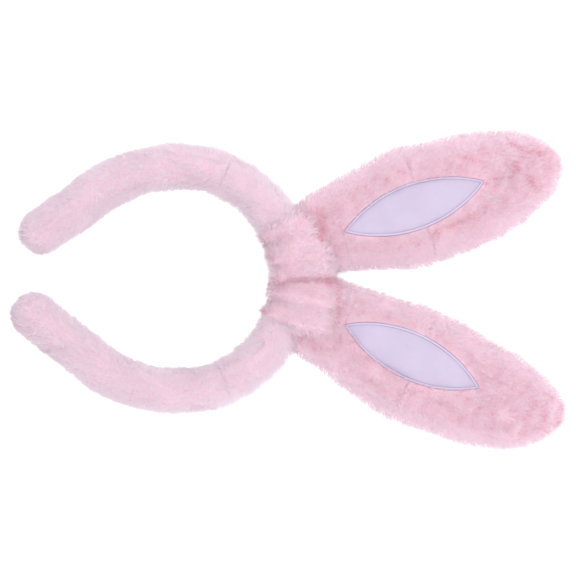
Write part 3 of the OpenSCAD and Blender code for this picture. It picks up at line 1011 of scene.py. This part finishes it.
def border_cord(side):
    """The satin-stitched cord round the leaf, with ridges where its strands lie."""
    place = places[side]
    profile = BORDER_POINTS
    swing = math.asin(LEAF_HALF_L / LEAF_R)
    turn = np.linspace(-swing, swing, BORDER_STEPS)
    edge = LEAF_R * np.cos(turn) - (LEAF_R - LEAF_HALF_W)
    length = LEAF_R * np.sin(turn)
    across = np.concatenate((edge, -edge[-2:0:-1]))
    length = np.concatenate((length, length[-2:0:-1]))
    out, along = leaf_to_ear(side, across, length)
    line = place.point(out, along, front_at(side, out, along) + BORDER_LIFT)
    ahead = unit(np.roll(line, -1, axis=0) - np.roll(line, 1, axis=0))
    sideways = unit(np.cross(ahead, TO_FRONT))
    up = np.cross(sideways, ahead)
    up *= np.sign(up @ TO_FRONT)[:, None]
    angle = np.linspace(0, 2 * math.pi, profile, endpoint=False)
    gone = np.concatenate(([0], np.cumsum(np.linalg.norm(np.diff(line, axis=0), axis=1))))
    ridge = 1 + RIDGE_DEPTH * np.sin(gone / MM * 2 * math.pi / RIDGE_PITCH)
    rings = (line[:, None] + sideways[:, None] * (BORDER_HALF * ridge[:, None] * np.cos(angle))[..., None]
             + up[:, None] * (BORDER_HIGH * ridge[:, None] * np.sin(angle))[..., None])
    faces = wall_faces(len(line), profile, 0, False, closed=True)
    cord = mesh_object(side + "_border_stitches", rings.reshape(-1, 3), faces, thread)
    layer = cord.data.uv_layers.new(name="Lay")
    span = (1 + np.cos(angle)) / 2
    for loop in cord.data.loops:
        step, corner = divmod(loop.vertex_index, profile)
        layer.data[loop.index].uv = (span[corner], gone[step] / MM)
    turn_faces_out(cord)
    return cord


for side in SIDES:
    panel = satin_panel(side)
    cord = border_cord(side)
    for piece, slot, node in ((panel, "satin", "_satin_inner"), (cord, "border_thread", "_inner_border")):
        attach(piece, side + "_ear")
        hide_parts(side + node)

# %% [markdown]
# Now the pile. It lies along the band towards the arms' ends, along the ears towards their tips, and up the
# wraps. None grows under a wrap or under the satin, where the real one is pressed flat or cut away. Where the
# cloth is gathered or folded the pile lies deep, and a table of creases lowers its tone there as painted
# shade.

# %% Where the pile grows
def band_angle(side, points):
    """Degrees gone round the band from its top."""
    return np.degrees(np.arctan2(SIDES[side] * points[:, 0], points[:, 2] - BAND_CENTRE[2]))


def wrap_depth(side, points):
    """How deep inside a wrap a point is: above 1 outside it, below 1 inside."""
    wrap = WRAPS[side]
    gone = points - BAND_CENTRE
    radius = np.hypot(gone[:, 0], gone[:, 2]) - BAND_R
    middle, half = wrap_heights(wrap)
    reach = np.hypot((radius - middle) / half, points[:, 1] / WRAP_FRONT)
    centre = (wrap["from"] + wrap["to"]) / 2
    span = (wrap["to"] - wrap["from"]) / 2
    return np.maximum(reach, np.abs(band_angle(side, points) - centre) / span)


def under_wrap(side, points):
    """Whether points on the band lie under a wrap, with a little pile let out at its edges."""
    wrap = WRAPS[side]
    angle = band_angle(side, points)
    return (angle > wrap["from"] - 1) & (angle < wrap["to"] - 1.5)


def ear_depth(side, points):
    """Above 1 outside an ear's stuffed form, below 1 inside."""
    place = places[side]
    out, along, front = place.local(points)
    wide, thick = cloth_size(place, along)
    share = np.clip(np.abs(out - sway(side, along)) / wide, 0, 2)
    room = thick * np.maximum(crown_of(np.minimum(share, 0.999)), 0.05)
    inside = np.where(share < 1, np.abs(front) / room, 2)
    return np.where(along > FOOT_AT, np.maximum(inside, share), 2)


def mottle(points, seed):
    """Soft patches of deeper and paler pile, a few millimetres across."""
    fine = waves(points, 9 * MM, seed)
    broad = waves(points, 30 * MM, seed + 1)
    return 0.13 * fine * (0.6 + 0.4 * broad) + 0.05 * waves(points, 5 * MM, seed + 2)


# Each row, in millimetres: from and to in the front view, half width, and how deep the painted shade is.
CREASE_SHADE_LINES = (
    ((-37, 31), (-25, 30), 2.4, 0.50), ((-37, 18), (-28, 20), 2.0, 0.20), ((-33, -6), (-36, 6), 1.2, 0.35),
    ((-15, 1), (-9, 6), 1.3, 0.35), ((2, 9), (0, 19), 1.4, 0.20), ((0, 19), (1, 30), 1.8, 0.22),
    ((1, 30), (7, 43), 2.4, 0.30), ((8, 41), (28, 42), 1.8, 0.35), ((12, 25), (12, 31), 1.8, 0.30),
    ((26, -8), (22, -4), 2.0, 0.35), ((-61, 136), (-61, 137), 1.3, 0.60), ((-64, 139), (-64, 148), 1.0, 0.25),
    ((-86, 152), (-79, 174), 1.6, 0.35), ((-74, 155), (-57, 170), 2.2, 0.30),
    ((-77, 119), (-73, 135), 1.8, 0.25), ((-28, 103), (-41, 129), 2.0, 0.25),
)


def crease_shade(points):
    """How much painted shade a place gets from the front's creases."""
    deep = np.zeros(len(points))
    flat = points[:, (0, 2)] / MM
    for start, end, wide, depth in CREASE_SHADE_LINES:
        line = np.subtract(end, start)
        share = np.clip((flat - start) @ line / (line @ line), 0, 1)
        gap = np.linalg.norm(flat - start - share[:, None] * line, axis=1)
        deep = np.maximum(deep, depth * np.exp(-((gap / wide) ** 2)))
    return deep * (points[:, 1] < 0)


def band_comb(side):
    """The way that pile lies on the band: round the head, then straight down the arm."""
    def comb(points):
        gone = points - BAND_CENTRE
        down = in_plane(gone[:, 2], -gone[:, 0]) * SIDES[side]
        straight = np.array((-0.35 * SIDES[side], 0, -1.0))
        return np.where((gone[:, 2] < 0)[:, None], straight, unit(down))
    return comb


def ear_comb(side):
    """The way that pile lies on an ear: towards the tip, and away from the satin's edge."""
    place = places[side]

    def comb(points):
        out, along, front = place.local(points)
        inside = inside_leaf(side, out, along)
        near = np.clip(1 + inside / (6 * MM), 0, 1) * (front > 0)
        step = 0.5 * MM
        push_out = inside - inside_leaf(side, out + step, along)
        push_along = inside - inside_leaf(side, out, along + step)
        away = unit(push_out[:, None] * place.out + push_along[:, None] * place.along)
        clean = 0.4 - np.clip(leaf_local(side, out, along)[0] / (4 * MM), -1, 1)
        return place.along + away * (near * 1.3 * clean)[:, None]
    return comb


# %% Grow the band's pile
def free_of_wraps(points):
    return ~under_wrap("right", points) & ~under_wrap("left", points)


def band_tone(points):
    return 0.10 + 0.5 * mottle(points, 70) - crease_shade(points)


for side in SIDES:
    whole = np.concatenate((skins[side, "upper"][:-1], skins[side, "lower"]))
    parts = {
        side + "_upper_band_pile": lambda points, side=side: band_angle(side, points) < SPLIT_ANGLE,
        side + "_lower_band_pile": lambda points, side=side: band_angle(side, points) >= SPLIT_ANGLE,
    }
    piles = grow_pile(parts, whole, finishes["band_plush"], band_comb(side), free_of_wraps,
                      band_tone, 100 + SIDES[side])
    for part, pile in zip(("upper", "lower"), piles.values()):
        settle(pile, bends[side, part])

# %% [markdown]
# On an ear the foot's tufts and the blade's mingle over the tucked edge.

# %% Grow the ears' pile
HIDDEN_BELOW = 0.78
OVER_OUTER_EDGE = 0.5 * MM
OVER_INNER_EDGE = 0.9 * MM


def ear_part(place, points):
    """Which of the ear's three parts each point belongs to."""
    along = place.local(points)[1]
    mingled = BLADE_FOOT + (FOOT_TOP - BLADE_FOOT) * (0.5 + 0.5 * waves(points, 1.3 * MM, 44))
    return np.where(along >= SPLIT_EAR, 2, np.where(along < mingled, 0, 1))


def ear_rules(side):
    """Where an ear's pile grows, its tone with painted light and shade, and its share of the full length."""
    place = places[side]

    def on_ear(points):
        out, along, front = place.local(points)
        outer = leaf_local(side, out, along)[0] > 0
        over = np.where(outer, OVER_OUTER_EDGE, OVER_INNER_EDGE)
        bare = (inside_leaf(side, out, along) > -over) & (front > 0)
        return ~bare & (wrap_depth(side, points) >= HIDDEN_BELOW)

    def ear_tone(points):
        out, along, _ = place.local(points)
        share = np.abs(out - sway(side, along)) / half_width(place, along)
        # Painted light: the pile is paler towards the ear's edges.
        edge = 0.34 * np.clip((share - 0.62) / 0.2, 0, 1)
        # Painted shade: the pile is darker near the foot, where the ear goes into the wrap.
        shade_at_foot = np.clip(1 - (along - 16 * MM) / (16 * MM), 0, 1)
        patches = 1.5 * mottle(points, 80) * (1 - 0.7 * (share > 0.75))
        return edge + patches - 0.20 - 0.25 * shade_at_foot - crease_shade(points)

    def short_at_leaf(points):
        out, along, front = place.local(points)
        near = np.clip(1 + inside_leaf(side, out, along) / (4 * MM), 0, 1) * (front > 0)
        return 1 - 0.35 * near

    return on_ear, ear_tone, short_at_leaf


for side in SIDES:
    parts = {}
    for number, part in enumerate(EAR_NODES):
        for panel, facing in (("front", True), ("back", False)):
            def on_panel(points, place=places[side], number=number, facing=facing):
                front = place.local(points)[2]
                return (ear_part(place, points) == number) & ((front >= 0) == facing)
            parts["_".join((side, "ear", part, panel, "pile"))] = on_panel
    on_ear, ear_tone, short_at_leaf = ear_rules(side)
    piles = grow_pile(parts, forms[side, "ear"], finishes["ear_plush"], ear_comb(side), on_ear,
                      ear_tone, 200 + SIDES[side], droop=short_at_leaf)
    for name, pile in piles.items():
        settle(pile, bends[side, name.split("_")[2]])

# %% Grow the wraps' pile
CLEAR_OF_EAR = 0.85
for side in SIDES:
    place = places[side]

    def on_wrap(points, side=side):
        return ear_depth(side, points) > CLEAR_OF_EAR

    def up_the_wrap(points, place=place):
        return np.broadcast_to(place.along + 0.35 * place.out, points.shape)

    def wrap_tone(points, side=side):
        other = "left" if side == "right" else "right"
        # Painted shade: the pile is darker where the two wraps meet.
        shade_where_wraps_meet = np.clip(1.35 - wrap_depth(other, points), 0, 0.5) * 0.5
        return 1.2 * mottle(points, 90) - shade_where_wraps_meet - crease_shade(points)

    parts = {side + "_wrap_pile": lambda points: np.ones(len(points), bool)}
    piles = grow_pile(parts, forms[side, "wrap"], finishes["wrap_plush"], up_the_wrap, on_wrap,
                      wrap_tone, 300 + SIDES[side])
    settle(piles[side + "_wrap_pile"], bends[side, "foot"])

# %% [markdown]
# The hard parts inside stay as the CAD drew them: spring strips, rubber boots and bending wires. Each has its
# own finish, so that a cut-away view shows what it is.

# %% Hidden parts
steel = Finish("spring_steel", Metallic=1.0, Roughness=0.35)
steel.set("Base Color", steel.mix(steel.noise(1500.0), srgb(150, 152, 158), srgb(190, 192, 198)))
rubber = Finish("boot_rubber", Roughness=0.6)
rubber.set("Base Color", rubber.mix(rubber.noise(1200.0), srgb(50, 50, 52), srgb(70, 70, 74)))
wire = Finish("coated_wire", Roughness=0.3)
wire.set("Base Color", wire.mix(wire.noise(800.0), srgb(228, 228, 226), srgb(244, 244, 242)))
inside = {"strip_boot": rubber, "strip": steel, "wire": wire}
for name, node in frame["nodes"].items():
    if node.hide_render:
        continue
    found = next(finish for word, finish in inside.items() if word in name)
    node.data.materials.clear()
    node.data.materials.append(found.material)
